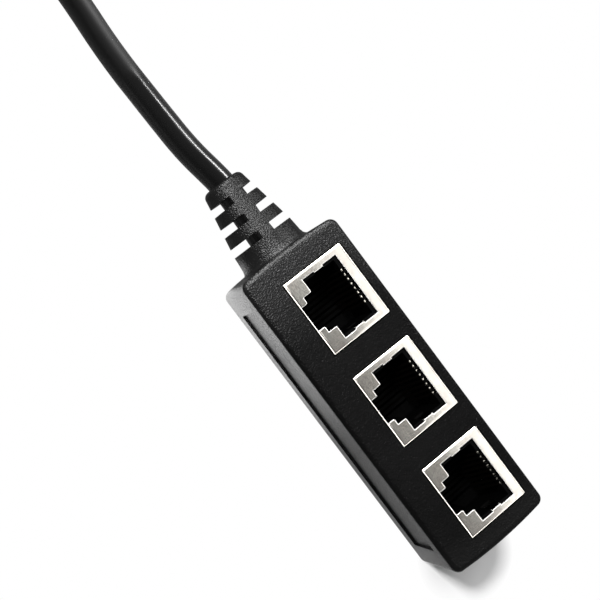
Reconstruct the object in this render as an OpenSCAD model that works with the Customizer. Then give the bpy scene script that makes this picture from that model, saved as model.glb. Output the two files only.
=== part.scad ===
// Three-way RJ45 splitter adapter: a moulded bar with three shielded sockets in its front face,
// a slotted strain relief on one end, and a short cable with a plug.
// The bar lies on its flat back. X runs from the cable end to the free end, Y towards the side where
// the contacts are, Z out of the sockets. The origin is the middle of the flat back. Units are mm.

/* [Sockets] */
// Distance between the middles of neighbouring sockets
pitch = 21; // [19.5:0.1:26]
// Length of a socket's metal face, along the row
shield_w = 15.84; // [15.4:0.01:16.6]
// Width of a socket's metal face, across the row
shield_h = 13.36; // [13.1:0.01:14]
// Depth of a socket behind its metal face
shield_d = 15.6; // [15.4:0.1:18]
// Thickness of the shield's sheet
sheet_t = 0.25; // [0.2:0.01:0.32]
// Outer radius of the fold round the metal face
fold_r = 0.5; // [0.45:0.05:0.6]
// Radius of the metal face's two corners on the contact side
face_corner_r = 0.8; // [0.5:0.1:1.2]
// How far the metal faces stand out of the housing
face_proud = 0.2; // [0:0.05:0.6]
// Gap between a shield and the housing
shield_gap = 0.12; // [0.06:0.01:0.25]

/* [Socket opening] */
// Metal left above the window on the contact side
window_margin = 2.04; // [1.8:0.01:2.4]
// Length of the window, along the row
window_w = 13.1; // [12.8:0.05:13.6]
// Width of the window's main part
window_h = 7.8; // [7.6:0.05:8.2]
// Length of the step for the plug's shoulders
shoulder_w = 7.7; // [7:0.1:8.4]
// Width of the step for the plug's shoulders
shoulder_h = 1.84; // [1.5:0.02:2]
// Length of the notch for the plug's latch
notch_w = 5.2; // [4.6:0.1:6]
// Radius of the metal tips beside the step and the notch
window_tip_r = 0.25; // [0.1:0.05:0.4]
// Width of the plug that fits the socket
plug_w = 11.68; // [11.5:0.01:11.8]
// Height of the plug's nose
nose_h = 6.7; // [6.5:0.01:6.8]
// Clearance round the plug in its socket
plug_clear = 0.1; // [0.06:0.01:0.15]
// Depth of the plastic socket body
insert_d = 12.4; // [12:0.1:12.8]
// Running gap between a socket's plastic pieces and its shield
inner_gap = 0.05; // [0.02:0.01:0.1]
// Width of each grounding finger
finger_w = 2; // [1.5:0.1:2.6]
// Length of each grounding finger, into the socket
finger_l = 5.4; // [4:0.1:6.5]

/* [Contacts] */
// Distance between neighbouring contacts
contact_pitch = 1.02; // [1:0.01:1.04]
// Width of a contact
wire_w = 0.36; // [0.3:0.01:0.42]
// Thickness of a contact
wire_t = 0.3; // [0.25:0.01:0.34]
// Radius of the bend at a contact's front, at the middle of the wire
bend_r = 0.55; // [0.45:0.01:0.65]
// Depth of the middle of that bend behind the metal face
bend_depth = 1.9; // [1.7:0.1:2.6]
// Slope of the springing leg
spring_angle = 17; // [14:1:20]
// Length of the springing leg
spring_l = 7.6; // [6:0.1:8.4]
// Depth of the first row of soldered legs
leg_depth = 12.8; // [12.7:0.1:13]
// Distance between the two rows of soldered legs
leg_stagger = 1.4; // [1.1:0.1:1.6]

/* [Housing] */
// Plastic between the first socket and the cable end
cable_margin = 5; // [4.8:0.1:9]
// Plastic between the last socket and the free end
free_margin = 4.05; // [3.6:0.05:8]
// Plastic beside the sockets on the contact side
contact_margin = 2.2; // [1.9:0.1:5]
// Plastic beside the sockets on the board side
board_margin = 6.3; // [6.1:0.1:9]
// Distance from the back of the sockets to the flat back
back_margin = 3.6; // [3.2:0.1:8]
// How far each end bulges
end_bow = 0.65; // [0.3:0.05:1.5]
// Radius of the upright corners
corner_r = 1.6; // [1.5:0.1:2.4]
// Radius of the edge round the front face
front_r = 1.1; // [0.5:0.1:1.4]
// Radius of the edge round the back
back_r = 0.6; // [0.3:0.1:1.2]
// Length of the sunk panel in each long side
panel_l = 55.2; // [40:0.1:58]
// Width of the sunk panel in each long side
panel_h = 11.2; // [8:0.1:13]
// Depth of the sunk panels
panel_depth = 0.5; // [0.2:0.1:0.8]

/* [Strain relief] */
// Length of the strain relief
relief_l = 16.65; // [15.8:0.05:24]
// Radius of the strain relief where it meets the housing
relief_base_r = 6.75; // [6:0.05:7.4]
// Radius where the taper starts
relief_waist_r = 6.42; // [5.8:0.02:6.9]
// Radius of the strain relief at the cable end
relief_tip_r = 4.32; // [3.8:0.02:5.4]
// Rounding of the cable end
relief_tip_round = 1.25; // [0.5:0.05:1.3]
// Radius of the flare into the housing
flare_r = 1.2; // [0.6:0.1:1.2]
// Length of solid foot before the first slot
relief_foot = 3.88; // [3:0.02:5]
// Distance between neighbouring slots
slot_pitch = 4.08; // [3.6:0.02:4.4]
// Width of each slot
slot_w = 1.64; // [1:0.02:2]
// Width of the spines that join the ribs
spine_w = 2.6; // [1.6:0.1:3.6]

/* [Circuit board] */
// Thickness of the board
board_t = 1.6; // [1:0.1:1.8]
// Width of the board, from back to front
board_depth = 14.2; // [13.4:0.1:14.6]
// How far the board reaches past the sockets at the cable end
board_cable_over = 3.1; // [2.9:0.05:3.3]
// How far the board reaches past the sockets at the free end
board_free_over = 1; // [0.6:0.1:1.6]
// Radius of the holes for the contacts' legs
leg_hole_r = 0.45; // [0.4:0.01:0.5]
// Radius of the sockets' plastic pegs
peg_r = 1.6; // [1.4:0.05:1.7]
// Distance between a socket's two pegs
peg_spacing = 11.43; // [11:0.01:12]
// Depth of the inner moulding over the solder side
mould_cover = 2.3; // [2:0.1:2.5]

/* [Cable] */
// Outer diameter of the cable
cable_d = 5.3; // [4.8:0.1:5.5]
// Diameter of one insulated wire
wire_d = 0.8; // [0.7:0.05:0.85]
// Diameter of a wire's copper
copper_d = 0.5; // [0.4:0.05:0.55]
// Length of the ring that grips the cable's jacket
crimp_l = 3.6; // [2.5:0.1:4.5]
// Thickness of the ring that grips the cable's jacket
crimp_t = 0.6; // [0.4:0.1:0.8]

/* [Plug] */
// Length of the plug's body
plug_l = 21.5; // [21:0.1:23]
// Height of the back of the plug's body
plug_h = 8; // [8:0.1:8.6]
// Length of the plug's high back
plug_back_l = 7; // [6:0.1:8]
// Length of the sleeve behind the plug
sleeve_l = 14; // [12:0.5:16]
// Width of the plug's latch at its root
latch_w = 6; // [5.4:0.1:6.2]
// Width of the plug's latch at its finger end
latch_tip_w = 3.2; // [2.8:0.1:4]

/* [Hidden] */
$fn = 48;
eps = 0.01;          // overlap that keeps cuts clean
contact_count = 8;
fit_gap = 0.02;      // clearance between a moulding and what it holds

// Overall sizes of the housing
body_l = 2*pitch + shield_w + cable_margin + free_margin;
body_w = shield_h + contact_margin + board_margin;
body_h = back_margin + shield_d - face_proud;
row_x = (cable_margin - free_margin)/2;
row_y = (board_margin - contact_margin)/2;
face_z = body_h + face_proud;

// The bowed ends and the upright corners that run into them
end_r = (pow(body_w/2, 2) + pow(end_bow, 2))/(2*end_bow);
end_cx = body_l/2 - end_r;
corner_y = body_w/2 - corner_r;
corner_x = end_cx + sqrt(pow(end_r - corner_r, 2) - pow(corner_y, 2));
end_a = asin(corner_y/(end_r - corner_r));

// The socket, in a frame whose origin is the middle of its metal face
window_y1 = shield_h/2 - window_margin;
window_y0 = window_y1 - window_h;
shoulder_y0 = window_y0 - shoulder_h;
notch_y0 = -shield_h/2 + sheet_t;
cavity_w = plug_w + 2*plug_clear;
cavity_h = nose_h + 2*plug_clear;
cavity_y0 = window_y0 + plug_clear;
insert_y1 = shield_h/2 - sheet_t - inner_gap;
finger_y = window_y0 + window_h/2 - 0.27;
finger_step = 0.3;
finger_room = 0.15;
lip_l = 4.2;         // length of the shield's wall on the board side
run_y = insert_y1 - 1.6;
bend_y = run_y - bend_r;
comb_slot_w = wire_w + 0.2;
peg_depth = 9;
tab_depth = 7;
tab_w = 1.8;
pin_stick = 1.1;     // how far legs and tabs come through the board

// The board lies against the sockets' board side
board_y1 = row_y - shield_h/2;
board_y0 = board_y1 - board_t;
board_x0 = row_x - pitch - shield_w/2 - board_cable_over;
board_x1 = row_x + pitch + shield_w/2 + board_free_over;
board_z1 = body_h - 2.2;
board_z0 = board_z1 - board_depth;
mould_end = 0.4;
mould_z = 0.6;
mould_y1 = cable_d/2 + 1.5;

// The cable and its wires
relief_z = body_h/2;
relief_x = -body_l/2;
flare_sink = end_bow*pow((relief_base_r + flare_r)/(body_w/2), 2) + 0.05;
jacket_x = board_x0;
wire_row = 1.15;
wire_col = 0.5;
pad_pitch = 3;
pad_x = [board_x0 + 0.8, board_x0 + 1.9];
pin_hole_r = copper_d/2 + 0.1;
strip_l = 0.35;      // bare copper above the board

// The plug's frame: its back face's middle, at the height of the cable in it
plug_at = [-100, 44.5, 4];
nose_x = plug_l;
jacket_in_plug = 8.5;
guide_x = 13.6;
guide_l = 3.2;
guide_w = 9.6;
guide_h = 1.9;
wire_line_z = -1.2;

// The cable's route past the strain relief: down to the surface, along it and round to the plug
turn = [-122, 22.5, 22];
route = concat(
    [[jacket_x, 0, relief_z], [-38, 0, relief_z], [-50, 0, relief_z], [-53, -0.35, 9.3],
     [-57, -0.85, 8.75], [-61, -1.1, 8.15], [-65, -1.1, 7.45], [-69, -1.05, 6.7], [-73, -0.95, 5.85],
     [-77, -0.85, 5], [-81, -0.65, 4.15], [-86, -0.3, 3.3], [-92, 0.2, 2.7], [-98, 0.45, 2.65],
     [-105, 0.5, 2.65], [-113, 0.5, 2.65]],
    [for (a = [0 : 15 : 180]) [turn[0] - turn[2]*sin(a), turn[1] - turn[2]*cos(a), route_rise(a)]],
    [[-118, 44.5, 3.95], [plug_at[0] - sleeve_l, 44.5, 4], [-104, 44.5, 4],
     [plug_at[0] + jacket_in_plug, 44.5, 4]]);
cable_sides = 12;

function route_rise(a) = a < 135 ? 2.65 : 2.65 + 1.2*pow((a - 135)/45, 2);
function socket_x(i) = row_x + (i - 2)*pitch;
function contact_x(k) = (k - (contact_count - 1)/2)*contact_pitch;
function leg_row(k) = leg_depth + (k % 2)*leg_stagger;
function unit(v) = v/norm(v);
function along(p, i) = unit(p[min(i + 1, len(p) - 1)] - p[max(i - 1, 0)]);

// A closed tube swept along points that never run straight up
module sweep(p, r, sides) {
    rings = [for (i = [0 : len(p) - 1])
        let (t = along(p, i), s = unit(cross([0, 0, 1], t)), u = cross(t, s))
        for (j = [0 : sides - 1]) p[i] + r*(cos(360*j/sides)*s + sin(360*j/sides)*u)];
    last = (len(p) - 1)*sides;
    walls = [for (i = [0 : len(p) - 2], j = [0 : sides - 1])
        let (a = i*sides + j, b = i*sides + (j + 1) % sides)
        each [[a, b, b + sides], [a, b + sides, a + sides]]];
    polyhedron(rings, concat([for (f = walls) [f[2], f[1], f[0]]],
                             [[for (j = [0 : sides - 1]) j]],
                             [[for (j = [sides - 1 : -1 : 0]) last + j]]));
}

// A round wire along a few straight stretches
module wire_run(p, r) {
    for (i = [0 : len(p) - 2]) {
        d = p[i + 1] - p[i];
        translate(p[i])
            rotate([0, acos(d[2]/norm(d)), atan2(d[1], d[0])])
                cylinder(r = r, h = norm(d));
    }
    for (i = [1 : len(p) - 2]) translate(p[i]) sphere(r = r);
}

module at_socket(i) { translate([socket_x(i), row_y, face_z]) children(); }

module box(lo, hi) { translate(lo) cube(hi - lo); }

// Half of the housing's section: flat at x = 0, with its two outer edges rounded
module edge_section(w) {
    intersection() {
        union() {
            square([w - front_r, body_h]);
            square([w - back_r, body_h/2]);
            translate([0, back_r]) square([w, body_h - back_r - front_r]);
            translate([w - front_r, body_h - front_r]) circle(front_r, $fn = 32);
            translate([w - back_r, back_r]) circle(back_r, $fn = 32);
        }
        square([w, body_h]);
    }
}

// One end: a slice of a wide disc for the bow, and a small disc for each upright corner
module bowed_end() {
    translate([end_cx, 0, 0]) rotate([0, 0, -end_a]) rotate_extrude(angle = 2*end_a, $fn = 240)
        difference() {
            edge_section(end_r);
            translate([-1, -1]) square([end_r - 2, body_h + 2]);
        }
    for (s = [-1, 1]) translate([corner_x, s*corner_y, 0])
        rotate_extrude($fn = 32) edge_section(corner_r);
}

module bar() {
    hull() {
        bowed_end();
        mirror([1, 0, 0]) bowed_end();
    }
}

// The strain relief's outline, turned round the cable: x is the radius, y runs away from the housing
module relief_section() {
    tip = relief_l - relief_tip_round;
    tip_r = relief_tip_r - relief_tip_round;
    polygon([[0, -2], [relief_base_r, -2], [relief_base_r, 0], [relief_waist_r, relief_foot],
             [relief_tip_r, tip], [tip_r, tip], [tip_r, relief_l], [0, relief_l]]);
    translate([tip_r, tip]) circle(relief_tip_round);
    difference() {
        translate([0, -2]) square([relief_base_r + flare_r, 2 - flare_sink + flare_r]);
        translate([relief_base_r + flare_r, flare_r - flare_sink]) circle(flare_r);
    }
}

module relief() {
    translate([relief_x, 0, relief_z]) rotate([0, -90, 0]) difference() {
        rotate_extrude() relief_section();
        for (k = [0 : 2], s = [-1, 1])
            translate([0, s*(spine_w/2 + 10), relief_foot + k*slot_pitch + slot_w/2])
                cube([40, 20, slot_w], center = true);
    }
}

module cable_bore(r, x0, x1) {
    translate([x0, 0, relief_z]) rotate([0, 90, 0]) cylinder(r = r, h = x1 - x0);
}

// The outline of a shield, grown by g
module face_outline(g) {
    w = shield_w/2 + g;
    h = shield_h/2 + g;
    r = face_corner_r + g;
    translate([-w, -h]) square([2*w, 2*h - r]);
    translate([-w + r, -h]) square([2*(w - r), 2*h]);
    for (s = [-1, 1]) translate([s*(w - r), h - r]) circle(r);
}

module window_outline() {
    translate([-window_w/2, window_y0]) square([window_w, window_h]);
    translate([-shoulder_w/2, shoulder_y0]) square([shoulder_w, shoulder_h + eps]);
    translate([-notch_w/2, notch_y0]) square([notch_w, shoulder_y0 - notch_y0 + eps]);
    rounded_tips(shoulder_w/2, window_y0);
    rounded_tips(notch_w/2, shoulder_y0);
}

// What rounds off the metal's tips at x and -x, whose upper edge is at y
module rounded_tips(x, y) {
    r = window_tip_r;
    for (s = [0, 1]) mirror([s, 0]) translate([x + r, y - r]) difference() {
        translate([-r - eps, 0]) square([r + eps, r + eps]);
        circle(r);
    }
}

module board_blank(g) {
    box([board_x0 - g, board_y0 - g, board_z0 - g], [board_x1 + g, board_y1, board_z1 + g]);
}

module mould_blank() {
    box([board_x0 - mould_end, board_y0 - mould_cover, board_z0 - mould_z],
        [board_x1 + mould_end, board_y0, board_z1 + mould_z]);
    box([board_x0 - mould_end, board_y0 - mould_cover, board_z0 - mould_z],
        [socket_x(1) - shield_w/2, mould_y1, board_z1 + mould_z]);
}

module side_panels() {
    for (s = [-1, 1])
        translate([0, s*body_w/2, body_h/2]) rotate([90, 0, 0])
            linear_extrude(2*panel_depth, center = true)
                square([panel_l, panel_h], center = true);
}

module housing() {
    color("#1c1c1e") difference() {
        union() {
            bar();
            relief();
        }
        for (i = [1 : 3]) at_socket(i)
            translate([0, 0, -shield_d - fit_gap])
                linear_extrude(shield_d + 1) face_outline(shield_gap);
        board_blank(fit_gap);
        box([board_x0 - fit_gap, board_y1 - 1, board_z0 - fit_gap],
            [board_x1 + fit_gap, board_y1 + shield_gap, board_z1 + fit_gap]);
        mould_blank();
        side_panels();
        cable_bore(cable_d/2 + fit_gap, relief_x - relief_l - 1, board_x0);
        cable_bore(cable_d/2 + crimp_t, relief_x - crimp_l, relief_x);
    }
}

module crimp_ring() {
    color("#b8a070") difference() {
        cable_bore(cable_d/2 + crimp_t, relief_x - crimp_l, relief_x);
        cable_bore(cable_d/2 + fit_gap, relief_x - crimp_l - 1, relief_x + 1);
    }
}

// The legs, tabs and pegs that go through the board, grown by g, between two levels in Y
module leg_pins(y0, y1, r) {
    for (i = [1 : 3]) at_socket(i)
        for (k = [0 : contact_count - 1])
            translate([contact_x(k), y1 - row_y, -leg_row(k)]) rotate([90, 0, 0])
                cylinder(r = r, h = y1 - y0);
}

module tab_slots(y0, y1, g) {
    for (i = [1 : 3], s = [-1, 1]) at_socket(i)
        box([s*(shield_w/2 - sheet_t/2) - sheet_t/2 - g, y0 - row_y, -tab_depth - tab_w/2 - g],
            [s*(shield_w/2 - sheet_t/2) + sheet_t/2 + g, y1 - row_y, -tab_depth + tab_w/2 + g]);
}

module peg_holes(y0, y1, r) {
    for (i = [1 : 3], s = [-1, 1]) at_socket(i)
        translate([s*peg_spacing/2, y1 - row_y, -peg_depth]) rotate([90, 0, 0])
            cylinder(r = r, h = y1 - y0);
}

module pad_holes(y0, y1, r) {
    for (w = [0 : 7]) translate([pad_x[w % 2], y1, pad_z(floor(w/2))]) rotate([90, 0, 0])
        cylinder(r = r, h = y1 - y0);
}

function pad_z(row) = relief_z + (row - 1.5)*pad_pitch;

module circuit_board() {
    color("#1f5c38") difference() {
        board_blank(0);
        leg_pins(board_y0 - 1, board_y1 + 1, leg_hole_r);
        tab_slots(board_y0 - 1, board_y1 + 1, 0.15);
        peg_holes(board_y0 - 1, board_y1 + 1, peg_r + 0.05);
        pad_holes(board_y0 - 1, board_y1 + 1, pin_hole_r);
    }
}

module inner_mould() {
    reach = board_y0 - pin_stick - 0.1;
    color("#d8d4c8") difference() {
        mould_blank();
        board_blank(fit_gap);
        leg_pins(reach, board_y0 + 1, leg_hole_r);
        tab_slots(reach, board_y0 + 1, 0.15);
        peg_holes(reach, board_y0 + 1, peg_r + 0.05);
        pad_holes(reach, board_y1 + 1, pin_hole_r);
        cable_bore(cable_d/2 + fit_gap, board_x0 - 1, jacket_x);
        for (w = [0 : 7]) wire_run(board_wire(w), wire_d/2 + fit_gap);
    }
}

// A wire from the cable's cut end to the board
function board_wire(w) =
    let (z = relief_z + (floor(w/2) - 1.5)*wire_row, y = (w % 2 - 0.5)*2*wire_col)
    [[jacket_x, y, z], [pad_x[w % 2], y, z], [pad_x[w % 2], board_y1 + strip_l, pad_z(floor(w/2))]];

module board_pair(n, colour) {
    for (w = [2*n, 2*n + 1]) color(w % 2 == 0 ? "white" : colour) {
        wire_run(board_wire(w), wire_d/2);
        translate([pad_x[w % 2], board_y1 + strip_l + wire_d/5, pad_z(n)]) rotate([90, 0, 0])
            cylinder(r = copper_d/2, h = strip_l + wire_d/5 + board_t + pin_stick);
    }
}

module pair_orange() { board_pair(0, "#d8701c"); }
module pair_green() { board_pair(1, "#2c8c44"); }
module pair_blue() { board_pair(2, "#2458b0"); }
module pair_brown() { board_pair(3, "#6b4226"); }

// One folded shield: a box open at the bottom, with a stepped window, two fingers and two tabs
module shield() {
    difference() {
        folded_block(0);
        folded_block(sheet_t);
        box([-shield_w/2 + sheet_t, -shield_h/2 - 1, -shield_d + sheet_t],
            [shield_w/2 - sheet_t, -shield_h/2 + 1, -lip_l]);
        translate([0, 0, -2*sheet_t]) linear_extrude(4*sheet_t) window_outline();
        for (s = [-1, 1]) translate([s*shield_w/2, -shield_h/2, 0]) rotate([0, 0, 45])
            cube([0.36, 0.36, 3], center = true);
    }
    for (s = [-1, 1]) {
        grounding_finger(s);
        box([s*(shield_w/2 - sheet_t/2) - sheet_t/2, -shield_h/2 - board_t - pin_stick,
             -tab_depth - tab_w/2],
            [s*(shield_w/2 - sheet_t/2) + sheet_t/2, -shield_h/2 + 1, -tab_depth + tab_w/2]);
    }
}

// The shield's block, shrunk by g all round, with its front edges rounded
module folded_block(g) {
    intersection() {
        translate([0, 0, g - shield_d]) linear_extrude(shield_d - 2*g) face_outline(-g);
        rotate([90, 0, 90]) linear_extrude(shield_w + 1, center = true) fold_section(shield_h/2, g);
        rotate([90, 0, 0]) linear_extrude(shield_h + 1, center = true) fold_section(shield_w/2, g);
    }
}

module fold_section(half, g) {
    flat = half - fold_r;
    translate([g - half, -shield_d]) square([2*(half - g), shield_d - fold_r]);
    translate([-flat, -fold_r - eps]) square([2*flat, fold_r - g + eps]);
    for (s = [-1, 1]) translate([s*flat, -fold_r]) circle(fold_r - g);
}

// A strip folded in at the window's side, bowed towards the plug
module grounding_finger(s) {
    root = window_w/2 - finger_step;
    crest = cavity_w/2 - 0.04;
    tip = crest + 0.45;
    translate([0, finger_y, 0]) rotate([90, 0, 0]) linear_extrude(finger_w, center = true)
        mirror([s < 0 ? 1 : 0, 0]) polygon([
            [window_w/2 + eps, 0], [root, 0], [crest, -finger_l*0.55], [tip, -finger_l],
            [tip + sheet_t, -finger_l], [crest + sheet_t, -finger_l*0.55],
            [root + sheet_t, -sheet_t - eps], [window_w/2 + eps, -sheet_t]]);
}

// The plastic socket body with its stepped cavity, contact comb and pegs
module insert() {
    w = shield_w/2 - sheet_t - inner_gap;
    y0 = -shield_h/2 + sheet_t + inner_gap;
    y_board = -shield_h/2;
    difference() {
        union() {
            intersection() {
                folded_block(sheet_t + inner_gap);
                box([-shield_w, -shield_h, -insert_d], [shield_w, shield_h, 1]);
            }
            box([-w + 1, y_board, -insert_d], [w - 1, y0 + eps, -lip_l - inner_gap]);
            for (s = [-1, 1]) translate([s*peg_spacing/2, y0 + eps, -peg_depth]) rotate([90, 0, 0])
                cylinder(r = peg_r, h = y0 + eps - y_board + board_t + pin_stick - 0.2);
        }
        box([-cavity_w/2, cavity_y0, -insert_d - 1], [cavity_w/2, cavity_y0 + cavity_h, 1]);
        box([-shoulder_w/2 + plug_clear, shoulder_y0 + plug_clear, -insert_d - 1],
            [shoulder_w/2 - plug_clear, cavity_y0 + eps, 1]);
        box([-notch_w/2 + plug_clear, y_board - 1, -lip_l - 4],
            [notch_w/2 - plug_clear, cavity_y0, 1]);
        for (s = [-1, 1])
            box([s > 0 ? cavity_w/2 - eps : -window_w/2 - finger_room,
                 finger_y - finger_w/2 - finger_room, -finger_l - finger_room],
                [s > 0 ? window_w/2 + finger_room : -cavity_w/2 + eps,
                 finger_y + finger_w/2 + finger_room, 1]);
        for (k = [0 : contact_count - 1])
            box([contact_x(k) - comb_slot_w/2, cavity_y0 + cavity_h - eps, -insert_d - 1],
                [contact_x(k) + comb_slot_w/2, run_y + wire_t/2 + inner_gap, 1]);
    }
}

// A contact seen from its side: x is the depth behind the metal face, y is across the row
module contact_section(k) {
    leg = leg_row(k);
    translate([bend_depth, bend_y]) {
        intersection() {
            difference() {
                circle(bend_r + wire_t/2);
                circle(bend_r - wire_t/2);
            }
            translate([-5, -5]) square([5, 10]);
            rotate(-spring_angle) translate([-5, -5]) square([5, 10]);
        }
        translate([0, bend_r - wire_t/2]) square([leg + wire_t/2 - bend_depth, wire_t]);
        rotate(-spring_angle) translate([0, -bend_r - wire_t/2]) square([spring_l, wire_t]);
    }
    translate([leg - wire_t/2, -shield_h/2 - board_t - pin_stick])
        square([wire_t, run_y + shield_h/2 + board_t + pin_stick]);
}

module contact_set(i) {
    color("#c9a24a") at_socket(i)
        for (k = [0 : contact_count - 1])
            translate([contact_x(k) - wire_w/2, 0, 0]) rotate([0, 90, 0])
                linear_extrude(wire_w) contact_section(k);
}

// The rear block, with an open groove down to each contact's leg
module contact_carrier(i) {
    wall = sheet_t + inner_gap;
    front = insert_d + inner_gap;
    color("#26262a") at_socket(i) difference() {
        translate([0, 0, wall - shield_d]) linear_extrude(shield_d - wall - front) {
            face_outline(-wall);
            translate([wall - shield_w/2, -shield_h/2]) square([shield_w - 2*wall, 1]);
        }
        for (k = [0 : contact_count - 1])
            box([contact_x(k) - wire_w/2 - inner_gap, -shield_h/2 - 1,
                 -leg_row(k) - wire_t/2 - inner_gap],
                [contact_x(k) + wire_w/2 + inner_gap, run_y + wire_t/2 + inner_gap, -front + 1]);
    }
}

module metal_shield(i) { color("#c8c6c0") at_socket(i) shield(); }
module socket_insert(i) { color("#141416") at_socket(i) insert(); }

module cable() { color("#18181a") sweep(route, cable_d/2, cable_sides); }

module at_plug() { translate(plug_at) children(); }

function plug_wire(k) =
    let (y = 0.57*contact_x(k), z = k % 2 - 0.5)
    [[jacket_in_plug, y, z], [jacket_in_plug + 0.3, y, z],
     [guide_x - 0.4, contact_x(k), wire_line_z], [nose_x - 0.8, contact_x(k), wire_line_z]];

module plug_side() {
    polygon([[0, -plug_h/2], [nose_x, -plug_h/2], [nose_x, -plug_h/2 + nose_h],
             [plug_back_l + 0.8, -plug_h/2 + nose_h], [plug_back_l, plug_h/2], [0, plug_h/2]]);
}

// The latch's side view: a bar that springs up and back from the nose, with its stop
module latch_side() {
    top = -plug_h/2 + nose_h;
    polygon([[nose_x, top - 0.4], [nose_x - 0.2, top + 0.5], [nose_x - 1, top + 1], [6.5, top + 3.2],
             [4.5, top + 3.7], [4.5, top + 2.9], [6.5, top + 2.2], [nose_x - 8.4, top + 1.3],
             [nose_x - 8.4, top + 0.75], [nose_x - 4, top + 0.5], [nose_x - 2, top - 0.4]]);
}

module plug_body() {
    color([0.85, 0.9, 0.92, 0.5]) at_plug() difference() {
        union() {
            rotate([90, 0, 0]) linear_extrude(plug_w, center = true) plug_side();
            intersection() {
                rotate([90, 0, 0]) linear_extrude(latch_w, center = true) latch_side();
                translate([0, 0, -10]) linear_extrude(30) polygon([
                    [0, -latch_tip_w/2], [nose_x - 9, -latch_tip_w/2], [nose_x - 8, -latch_w/2],
                    [nose_x, -latch_w/2], [nose_x, latch_w/2], [nose_x - 8, latch_w/2],
                    [nose_x - 9, latch_tip_w/2], [0, latch_tip_w/2]]);
            }
        }
        translate([-1, 0, 0]) rotate([0, 90, 0])
            cylinder(r = cable_d/2 + fit_gap, h = jacket_in_plug + 1);
        box([jacket_in_plug - eps, -4.9, -2.3], [guide_x + guide_l + 0.1, 4.9, 1.6]);
        box([guide_x, -4.3, wire_line_z - 0.5], [nose_x - 0.7, 4.3, wire_line_z + 0.5]);
        for (k = [0 : contact_count - 1])
            box([nose_x - 5.2, contact_x(k) - 0.22, -plug_h/2 - 1],
                [nose_x + 1, contact_x(k) + 0.22, -plug_h/2 + 2.4]);
    }
}

module plug_contacts() {
    color("#d4a838") at_plug()
        for (k = [0 : contact_count - 1])
            box([nose_x - 4.4, contact_x(k) - 0.18, -plug_h/2 + 0.5],
                [nose_x - 1.2, contact_x(k) + 0.18, -plug_h/2 + 2.3]);
}

module plug_guide() {
    color([0.9, 0.9, 0.9, 0.6]) at_plug() difference() {
        box([guide_x, -guide_w/2, wire_line_z - guide_h/2],
            [guide_x + guide_l, guide_w/2, wire_line_z + guide_h/2]);
        for (k = [0 : contact_count - 1])
            translate([guide_x - 1, contact_x(k), wire_line_z]) rotate([0, 90, 0])
                cylinder(r = wire_d/2 + fit_gap, h = guide_l + 2);
    }
}

module plug_wires() {
    for (k = [0 : contact_count - 1])
        color(k % 2 == 0 ? "white" : ["#d8701c", "#2c8c44", "#2458b0", "#6b4226"][floor(k/2)])
            at_plug() sweep(plug_wire(k), wire_d/2, 8);
}

// The sleeve moulded behind the plug: a flat collar and a ringed, tapered neck
module plug_boot() {
    collar = 5;
    neck_r = plug_h/2 - 0.1;
    tip_r = cable_d/2 + 0.9;
    color("#1c1c1e") at_plug() rotate([0, -90, 0]) difference() {
        union() {
            linear_extrude(collar) square([plug_h, plug_w - 0.4], center = true);
            rotate_extrude() polygon([[0, 0], [neck_r, 0], [neck_r, collar],
                                      [tip_r, sleeve_l], [0, sleeve_l]]);
        }
        for (k = [0 : 2]) translate([0, 0, collar + 1.5 + k*2.6]) difference() {
            cylinder(r = plug_h, h = 1);
            translate([0, 0, -1]) cylinder(r = cable_d/2 + 0.5, h = 3);
        }
        translate([0, 0, -1]) cylinder(r = cable_d/2 + fit_gap, h = sleeve_l + 2);
    }
}

housing();
inner_mould();
circuit_board();
crimp_ring();
metal_shield(1);  // shield_1
metal_shield(2);  // shield_2
metal_shield(3);  // shield_3
socket_insert(1);  // insert_1
socket_insert(2);  // insert_2
socket_insert(3);  // insert_3
contact_carrier(1);  // carrier_1
contact_carrier(2);  // carrier_2
contact_carrier(3);  // carrier_3
contact_set(1);  // contacts_1
contact_set(2);  // contacts_2
contact_set(3);  // contacts_3
pair_orange();
pair_green();
pair_blue();
pair_brown();
cable();
plug_boot();
plug_body();
plug_guide();
plug_contacts();
plug_wires();
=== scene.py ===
import math

import bpy
from mathutils import Euler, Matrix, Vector


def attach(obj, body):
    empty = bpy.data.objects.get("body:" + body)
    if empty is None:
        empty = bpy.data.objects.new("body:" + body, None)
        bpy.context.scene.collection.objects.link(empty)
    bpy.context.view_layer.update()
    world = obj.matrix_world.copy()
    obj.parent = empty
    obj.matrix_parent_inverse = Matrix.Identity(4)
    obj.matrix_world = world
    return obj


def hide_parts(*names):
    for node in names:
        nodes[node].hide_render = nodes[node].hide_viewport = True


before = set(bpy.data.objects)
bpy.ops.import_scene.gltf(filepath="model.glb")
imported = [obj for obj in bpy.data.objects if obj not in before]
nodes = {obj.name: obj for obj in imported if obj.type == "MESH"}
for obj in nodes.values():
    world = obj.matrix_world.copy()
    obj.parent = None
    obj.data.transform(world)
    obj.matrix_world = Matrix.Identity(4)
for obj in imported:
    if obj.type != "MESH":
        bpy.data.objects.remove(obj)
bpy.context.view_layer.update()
scene = bpy.context.scene
MM = 0.001

# Places on the object where a material changes, in metres.
# The black plastic: its dullest place, how far from it the gloss grows, and where the strain relief starts
DULL_X = 0.005
GLOSS_FROM = 0.022
GLOSS_TO = 0.041
RELIEF_X0 = -0.037
RELIEF_X1 = -0.0345
# The contacts are gold above these heights and painted near-black below them, as painted shade
TIP_SHADE_Z0 = 0.01796
TIP_SHADE_Z1 = 0.01799
# The shields' metal is painted dark grey below these heights, as painted shade inside the sockets, and turns
# to its own colour between them
INSIDE_Z0 = 0.0183
INSIDE_Z1 = 0.0187
# The cable turns from satin to glossy between these places
SATIN_X = -0.0780
GLOSSY_X = -0.0748
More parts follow.
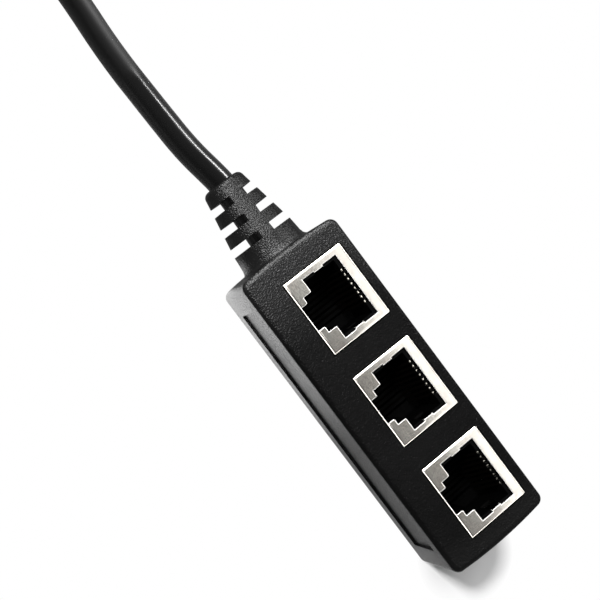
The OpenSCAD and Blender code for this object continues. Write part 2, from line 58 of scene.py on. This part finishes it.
# The wires in the plug: the first one's outer side, their pitch, the rings on the white ones, the colours
FIRST_WIRE_Y = 0.04042
WIRE_PITCH = 0.00102
RING_PITCH = 0.0011
RING_WIDTH = 0.0003
WIRE_COLOURS = {"white": (0.80, 0.79, 0.76), "orange": (0.75, 0.24, 0.03), "green": (0.03, 0.33, 0.08),
                "blue": (0.03, 0.10, 0.50), "brown": (0.18, 0.08, 0.03)}

# The cable and the far turn of its route, in millimetres. LIE_Z is the height of its middle where it lies, and
# it climbs towards the plug over the last part of the turn, which is given in degrees
CABLE_D = 5.3
TURN_X = -122.0
TURN_Y = 22.5
TURN_R = 22.0
LIE_Z = 2.65
CLIMB = 1.2
CLIMB_FROM = 135
CLIMB_OVER = 45

# The floor. The shadow past the free end: its middle, its shape and the radii between which the glow sets in
FLOOR_HALF = 3
FLOOR_Z = -0.00002
SHADOW_AT = (0.0368, -0.0033, 0)
SHADOW_SCALE = (1.05, 1, 1)
SHADOW_R0 = 0.0064
SHADOW_R1 = 0.0102
# The strip of the floor that is mirrored in the side wall glows for gloss only, a painted reflection: it
# begins at one end and fades towards the other
STRIP_Y = -0.0132
STRIP_INNER = 0.0031
STRIP_OUTER = 0.0052
STRIP_X0 = -0.0375
STRIP_X1 = -0.0355
FADE_X0 = -0.0145
FADE_X1 = 0.0075
STRIP_BRIGHT = 2.6
STRIP_DIM = 0.95

# Levels of the world and of the floor's glow, where 1 is white
WHITE = 1.0
FILL = 0.2
HORIZON = 0.6
OVERHEAD = 0.24


# The camera, at the photograph's viewing angle
cam_data = bpy.data.cameras.new("camera")
cam_data.lens = 75
cam_data.sensor_width = 36
cam_data.clip_start = 0.005
cam_data.clip_end = 20
camera = bpy.data.objects.new("camera", cam_data)
camera.location = (-0.03904, -0.05636, 0.23678)
camera.rotation_euler = Euler([math.radians(a) for a in (5.342, -13.070, 52.056)], "XYZ")
scene.collection.objects.link(camera)
scene.camera = camera


def trio(name):
    """The names of the three like pieces, one per socket."""
    return ["%s_%d" % (name, k) for k in (1, 2, 3)]


def grey(level):
    """A display level from 0 to 255 as a grey in linear light."""
    c = level / 255
    c = c / 12.92 if c <= 0.04045 else ((c + 0.055) / 1.055) ** 2.4
    return (c, c, c, 1)


class Nodes:
    """A node tree, with short ways to add nodes to it."""

    def __init__(self, tree):
        self.tree = tree

    def fill(self, socket, value):
        """Feeds a socket from another node's output, or gives it a plain value."""
        if isinstance(value, bpy.types.NodeSocket):
            self.tree.links.new(value, socket)
        else:
            socket.default_value = value

    def node(self, kind, inputs, **settings):
        """A new node, with its inputs by name or number."""
        n = self.tree.nodes.new(kind)
        for k, v in settings.items():
            setattr(n, k, v)
        for k, v in inputs.items():
            self.fill(n.inputs[k], v)
        return n

    def split(self, vector):
        return self.node("ShaderNodeSeparateXYZ", {"Vector": vector}).outputs

    def remap(self, value, a, b, lo, hi, curve="LINEAR"):
        inputs = {"Value": value, "From Min": a, "From Max": b, "To Min": lo, "To Max": hi}
        return self.node("ShaderNodeMapRange", inputs, interpolation_type=curve).outputs["Result"]

    def calc(self, operation, *values):
        return self.node("ShaderNodeMath", dict(enumerate(values)), operation=operation).outputs["Value"]

    def mix(self, fac, a, b):
        """A mix of two colours."""
        return self.node("ShaderNodeMix", {"Factor": fac, 6: a, 7: b}, data_type="RGBA").outputs[2]

    def blend(self, fac, a, b):
        """A mix of two numbers."""
        inputs = {"Factor": fac, "A": a, "B": b}
        return self.node("ShaderNodeMix", inputs, data_type="FLOAT").outputs["Result"]


class Mat(Nodes):
    """A node material."""

    def __init__(self, name):
        self.m = bpy.data.materials.new(name)
        self.m.use_nodes = True
        super().__init__(self.m.node_tree)
        self.shader = self.tree.nodes["Principled BSDF"]

    def put(self, **inputs):
        """Fills the shader's own sockets. An underscore stands for a space in a socket's name."""
        for k, v in inputs.items():
            self.fill(self.shader.inputs[k.replace("_", " ")], v)

    def coords(self):
        return self.node("ShaderNodeTexCoord", {}).outputs["Object"]

    def noise(self, scale, detail, rough):
        inputs = {"Vector": self.coords(), "Scale": scale, "Detail": detail, "Roughness": rough}
        return self.node("ShaderNodeTexNoise", inputs).outputs["Fac"]

    def bump(self, height, strength, distance, normal=None):
        inputs = {"Height": height, "Strength": strength, "Distance": distance}
        if normal:
            inputs["Normal"] = normal
        self.put(Normal=self.node("ShaderNodeBump", inputs).outputs["Normal"])


def dress(names, mat, edge=0.0):
    """Gives CAD nodes a material, and rounds their sharp edges by edge, in millimetres."""
    for n in names:
        o = nodes[n]
        o.data.materials.clear()
        o.data.materials.append(mat.m)
        if edge:
            weld = o.modifiers.new("weld", "WELD")
            weld.merge_threshold = 0.000002
            flat = o.modifiers.new("flat", "DECIMATE")
            flat.decimate_type = "DISSOLVE"
            flat.angle_limit = math.radians(0.5)
            bevel = o.modifiers.new("edge", "BEVEL")
            bevel.width = edge * MM
            bevel.segments = 2
            bevel.limit_method = "ANGLE"
            bevel.angle_limit = math.radians(35)
            bevel.harden_normals = False
            level = o.modifiers.new("level", "WEIGHTED_NORMAL")
            level.keep_sharp = True


def moulded_black():
    """Matte moulded plastic with a spark-eroded grain, glossier towards the ends of the bar."""
    m = Mat("moulded_black")
    grain = m.noise(3600, 1, 0.5)
    fine = m.noise(9000, 2, 0.5)
    cloud = m.noise(60, 3, 0.5)
    along = m.split(m.coords())["X"]
    from_middle = m.calc("ABSOLUTE", m.calc("SUBTRACT", along, DULL_X))
    gloss = m.remap(from_middle, GLOSS_FROM, GLOSS_TO, 0.08, 0.40)
    m.put(Base_Color=m.mix(m.remap(cloud, 0.35, 0.65, 0, 1), grey(5), grey(8)))
    m.put(Roughness=m.remap(fine, 0.3, 0.7, 0.28, 0.38))
    # The export drops a linked specular level, so the socket has a middling number of its own too
    m.put(Specular_IOR_Level=0.25)
    m.put(Specular_IOR_Level=m.calc("MULTIPLY", gloss, m.remap(along, RELIEF_X0, RELIEF_X1, 0.66, 1)))
    m.bump(grain, 1.0, 0.00014)
    return m


def nickel_plate():
    """Satin nickel with faint warm patches, a painted highlight on the rims, and painted shade inside the
    sockets.
    """
    m = Mat("nickel_plate")
    cloud = m.noise(260, 3, 0.6)
    fine = m.noise(2600, 3, 0.6)
    round_edge = m.node("ShaderNodeBevel", {"Radius": 0.0002}, samples=8).outputs["Normal"]
    flat = m.node("ShaderNodeNewGeometry", {}).outputs["Normal"]
    turn = m.node("ShaderNodeVectorMath", {0: round_edge, 1: flat}, operation="DOT_PRODUCT").outputs["Value"]
    above_painted_shade = m.remap(m.split(m.coords())["Z"], INSIDE_Z0, INSIDE_Z1, 0, 1)
    # The bevel normal finds the rims, which are painted near-white and less metallic: a painted highlight
    rim_highlight = m.calc("MULTIPLY", m.remap(turn, 0.995, 0.90, 0, 1), above_painted_shade)
    nickel_tone = m.mix(m.remap(cloud, 0.35, 0.65, 0, 1), (0.60, 0.56, 0.51, 1), (0.67, 0.65, 0.595, 1))
    # Inside the sockets the plate is painted dark grey: painted shade
    plate = m.mix(above_painted_shade, (0.20, 0.19, 0.18, 1), nickel_tone)
    m.put(Base_Color=m.mix(rim_highlight, plate, (0.97, 0.96, 0.93, 1)))
    m.put(Roughness=m.blend(rim_highlight, m.remap(fine, 0.3, 0.7, 0.10, 0.15), 0.55))
    m.put(Metallic=m.remap(rim_highlight, 0, 1, 1.0, 0.3))
    m.bump(cloud, 0.2, 0.00006, normal=round_edge)
    return m


def socket_black():
    """Smooth black nylon."""
    m = Mat("socket_black")
    fine = m.noise(1800, 3, 0.5)
    m.put(Base_Color=m.mix(fine, grey(2), grey(5)))
    m.put(Roughness=m.remap(fine, 0.3, 0.7, 0.45, 0.6))
    m.put(Specular_IOR_Level=0.04)
    m.bump(fine, 0.2, 0.00004)
    return m


def gold_plate():
    """Gold on the contacts' bends, and near-black further in: painted shade."""
    m = Mat("gold_plate")
    fine = m.noise(1500, 3, 0.5)
    gold_tip = m.remap(m.split(m.coords())["Z"], TIP_SHADE_Z0, TIP_SHADE_Z1, 0, 1)
    gold = m.mix(fine, (0.95, 0.90, 0.78, 1), (0.98, 0.94, 0.84, 1))
    # The legs below the gold tips are painted near-black: painted shade
    m.put(Base_Color=m.mix(gold_tip, (0.0015, 0.0012, 0.001, 1), gold))
    m.put(Roughness=m.remap(gold_tip, 0, 1, 0.5, 0.16))
    m.put(Metallic=gold_tip, Specular_IOR_Level=0.0)
    return m


def soft_black():
    """Black PVC with faint long waves, glossy where the cable bends next to the strain relief."""
    m = Mat("soft_black")
    wave = m.noise(120, 2, 0.4)
    satin = m.remap(m.split(m.coords())["X"], SATIN_X, GLOSSY_X, 0.33, 0)
    m.put(Base_Color=m.mix(wave, grey(4), grey(8)))
    m.put(Roughness=m.calc("ADD", m.remap(wave, 0.3, 0.7, 0.19, 0.24), satin))
    m.put(Specular_IOR_Level=0.28, Sheen_Weight=0.2, Sheen_Roughness=0.5)
    m.bump(wave, 0.05, 0.00001)
    return m


def tinted(name, colour, rough):
    """A plain material with faint darker clouds, for pieces that hardly show."""
    m = Mat(name)
    cloud = m.noise(400, 3, 0.5)
    darker = tuple(c * 0.88 for c in colour)
    m.put(Base_Color=m.mix(cloud, darker + (1,), colour + (1,)))
    m.put(Roughness=m.remap(cloud, 0.3, 0.7, rough - 0.05, rough + 0.05))
    return m


def wire_colours():
    """Eight wires side by side from FIRST_WIRE_Y upwards. Four are white with rings of their pair's colour."""
    m = Mat("wire_colours")
    place = m.split(m.coords())
    step = m.remap(place["Y"], FIRST_WIRE_Y, FIRST_WIRE_Y + 8 * WIRE_PITCH, 0, 1)
    ramps = []
    for shades in (("orange", "orange", "green", "blue", "blue", "green", "brown", "brown"),
                   ("white", "orange", "white", "blue", "white", "green", "white", "brown")):
        ramp = m.node("ShaderNodeValToRGB", {"Fac": step})
        ramp.color_ramp.interpolation = "CONSTANT"
        stops = ramp.color_ramp.elements
        stops.remove(stops[1])
        for k, shade in enumerate(shades):
            stop = stops[0] if k == 0 else stops.new(k / 8)
            stop.color = WIRE_COLOURS[shade] + (1,)
        ramps.append(ramp.outputs["Color"])
    rings = m.calc("LESS_THAN", m.calc("PINGPONG", place["X"], RING_PITCH), RING_WIDTH)
    m.put(Base_Color=m.mix(rings, ramps[1], ramps[0]))
    m.put(Roughness=m.remap(m.noise(400, 3, 0.5), 0.3, 0.7, 0.35, 0.45))
    return m


def clear_plug():
    """Clear polycarbonate."""
    m = Mat("clear_plug")
    cloud = m.noise(300, 3, 0.5)
    m.put(Base_Color=m.mix(cloud, (0.90, 0.93, 0.94, 1), (0.95, 0.97, 0.98, 1)))
    m.put(Roughness=m.remap(cloud, 0.3, 0.7, 0.05, 0.12))
    m.put(Transmission_Weight=0.9, IOR=1.45)
    return m


dress(["housing", "plug_boot"], moulded_black(), edge=0.12)
dress(trio("shield"), nickel_plate(), edge=0.09)
dress(trio("insert") + trio("carrier"), socket_black())
dress(trio("contacts") + ["plug_contacts"], gold_plate())
dress(["plug_body", "plug_guide"], clear_plug())
dress(["circuit_board"], tinted("solder_mask", (0.006, 0.035, 0.016), 0.4))
dress(["inner_mould"], tinted("cream_moulding", (0.68, 0.65, 0.56), 0.5))
dress(["crimp_ring"], tinted("brass_ring", (0.6, 0.47, 0.24), 0.35))
for pair in ("orange", "green", "blue", "brown"):
    dress(["pair_" + pair], tinted("wire_" + pair, WIRE_COLOURS[pair], 0.4))
dress(["plug_wires"], wire_colours())


# The cable's route in millimetres, the same as in the CAD source
route = [(-34, 0, 9.5), (-38, 0, 9.5), (-50, 0, 9.5), (-53, -0.35, 9.3), (-57, -0.85, 8.75),
         (-61, -1.1, 8.15), (-65, -1.1, 7.45), (-69, -1.05, 6.7), (-73, -0.95, 5.85), (-77, -0.85, 5),
         (-81, -0.65, 4.15), (-86, -0.3, 3.3), (-92, 0.2, 2.7), (-98, 0.45, LIE_Z), (-105, 0.5, LIE_Z),
         (-113, 0.5, LIE_Z)]
for degrees in range(0, 181, 15):
    a = math.radians(degrees)
    climbed = max(degrees - CLIMB_FROM, 0) / CLIMB_OVER
    route.append((TURN_X - TURN_R * math.sin(a), TURN_Y - TURN_R * math.cos(a), LIE_Z + CLIMB * climbed ** 2))
route += [(-118, 44.5, 3.95), (-114, 44.5, 4), (-104, 44.5, 4), (-91.5, 44.5, 4)]


def smooth_tube(name, points, diameter, mat):
    """A round tube on one smooth curve through the points, in millimetres."""
    data = bpy.data.curves.new(name, "CURVE")
    data.dimensions = "3D"
    data.bevel_depth = diameter / 2 * MM
    data.bevel_resolution = 8
    data.resolution_u = 8
    data.use_fill_caps = True
    spline = data.splines.new("BEZIER")
    spline.bezier_points.add(len(points) - 1)
    for b, p in zip(spline.bezier_points, points):
        b.co = Vector(p) * MM
        b.handle_left_type = b.handle_right_type = "AUTO"
    data.materials.append(mat.m)
    o = bpy.data.objects.new(name, data)
    scene.collection.objects.link(o)
    return o


cable = smooth_tube("cable_tube", route, CABLE_D, soft_black())
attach(cable, "root")
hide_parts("cable")


def floor():
    """A white floor. Seen directly or through the plug it glows white like the world, except in the shadow."""
    mesh = bpy.data.meshes.new("floor")
    s = FLOOR_HALF
    mesh.from_pydata([(-s, -s, 0), (s, -s, 0), (s, s, 0), (-s, s, 0)], [], [(0, 1, 2, 3)])
    o = bpy.data.objects.new("floor", mesh)
    o.location.z = FLOOR_Z
    scene.collection.objects.link(o)
    m = Mat("floor")
    m.put(Base_Color=(0.85, 0.85, 0.85, 1), Roughness=0.7, Specular_IOR_Level=0.1)
    place = m.coords()
    x = m.split(place)["X"]
    y = m.split(place)["Y"]

    # The shadow keeps the floor's own shading, in an oval
    shaped = m.node("ShaderNodeVectorMath", {0: place, 1: SHADOW_SCALE}, operation="MULTIPLY")
    middle = [a * b for a, b in zip(SHADOW_AT, SHADOW_SCALE)]
    away = m.node("ShaderNodeVectorMath", {0: shaped.outputs["Vector"], 1: middle}, operation="DISTANCE")
    unshaded = m.remap(away.outputs["Value"], SHADOW_R0, SHADOW_R1, 0, 1)

    # Gloss sees a dim floor, apart from a glowing strip beside the side wall, which paints a reflection that
    # fades along the wall
    fade = m.remap(x, FADE_X0, FADE_X1, STRIP_BRIGHT, STRIP_DIM, "SMOOTHSTEP")
    beside = m.remap(m.calc("ABSOLUTE", m.calc("SUBTRACT", y, STRIP_Y)), STRIP_INNER, STRIP_OUTER, 1, 0)
    begins = m.remap(x, STRIP_X0, STRIP_X1, 0, 1)
    strip = m.calc("MULTIPLY", m.calc("MULTIPLY", fade, beside), begins)
    rays = m.node("ShaderNodeLightPath", {}).outputs
    glossy = rays["Is Glossy Ray"]
    strength = m.blend(glossy, WHITE, m.calc("MAXIMUM", strip, FILL))
    glow = m.node("ShaderNodeEmission", {"Strength": strength, "Color": (1, 1, 1, 1)})

    seen = m.calc("MAXIMUM", rays["Is Camera Ray"], rays["Is Transmission Ray"])
    share = m.calc("MAXIMUM", m.calc("MULTIPLY", seen, unshaded), glossy)
    both = m.node("ShaderNodeMixShader", {0: share, 1: m.shader.outputs[0], 2: glow.outputs[0]})
    m.fill(m.tree.nodes["Material Output"].inputs["Surface"], both.outputs[0])
    mesh.materials.append(m.m)


def white_world():
    """The camera sees white, also through the plug. Gloss sees a wall that is brighter near the horizon."""
    world = bpy.data.worlds.new("world")
    scene.world = world
    world.use_nodes = True
    w = Nodes(world.node_tree)
    rays = w.node("ShaderNodeLightPath", {}).outputs
    height = w.split(w.node("ShaderNodeTexCoord", {}).outputs["Generated"])["Z"]
    wall = w.remap(height, 0.02, 0.3, HORIZON, OVERHEAD)
    unseen = w.remap(rays["Is Glossy Ray"], 0, 1, FILL, wall)
    seen = w.calc("MAXIMUM", rays["Is Camera Ray"], rays["Is Transmission Ray"])
    background = w.tree.nodes["Background"].inputs
    w.fill(background["Color"], (1, 1, 1, 1))
    w.fill(background["Strength"], w.remap(seen, 0, 1, unseen, WHITE))


def area(name, location, size, radiance, target=None, only=(), without=()):
    """A rectangular lamp of a given brightness, aimed at a point or straight down.

    It lights all pieces, or only some, or all without some.
    """
    data = bpy.data.lights.new(name, "AREA")
    data.shape = "RECTANGLE"
    data.size, data.size_y = size
    data.energy = math.pi * size[0] * size[1] * radiance
    o = bpy.data.objects.new(name, data)
    o.location = location
    if target:
        o.rotation_mode = "QUATERNION"
        o.rotation_quaternion = (Vector(target) - Vector(location)).to_track_quat("-Z", "Y")
    scene.collection.objects.link(o)
    if only or without:
        lit = bpy.data.collections.new(name + "_lit")
        for piece in only or without:
            lit.objects.link(piece)
        for item in lit.collection_objects:
            item.light_linking.link_state = "INCLUDE" if only else "EXCLUDE"
        o.light_linking.receiver_collection = lit


floor()
white_world()

# The key stands past the cable end, and two softboxes hang overhead on the contact side
shields = [nodes[n] for n in trio("shield")]
contacts = [nodes[n] for n in trio("contacts")]
area("key", (-0.27, -0.11, 0.45), (0.08, 0.08), 126, (0, 0, 0), without=[cable])
area("softbox", (0.16, 0.195, 0.47), (0.34, 0.13), 1.9)
area("end_softbox", (-0.134, 0.11, 0.47), (0.232, 0.28), 2, without=[cable])
# Lower lamps for the strain relief, for the line on the cable and for the cable end of the bar
area("side_glow", (-0.11, 0.38, 0.20), (0.18, 0.10), 15, (-0.05, 0, 0.01))
area("cable_line", (-0.17, 0.38, 0.215), (0.20, 0.03), 110, (-0.07, 0, 0.005), only=[cable])
area("end_glow", (-0.38, 0.10, 0.24), (0.14, 0.30), 26, (-0.03, 0, 0.02), only=shields + [nodes["housing"]])
# An overhead lamp for the dots of the contacts, and three low ones for the shields' bright rims
area("contact_glow", (0.05, 0.15, 0.46), (0.36, 0.10), 3, only=contacts)
area("near_rims", (0.0, -0.42, 0.19), (0.5, 0.12), 8, (0, 0, 0.019), only=shields)
area("far_rims", (0.44, 0.12, 0.16), (0.25, 0.12), 7, (0, 0, 0.019), only=shields)
area("contact_rims", (0.0, 0.44, 0.12), (0.5, 0.12), 8, (0, 0, 0.019), only=shields)

scene.view_settings.view_transform = "Standard"
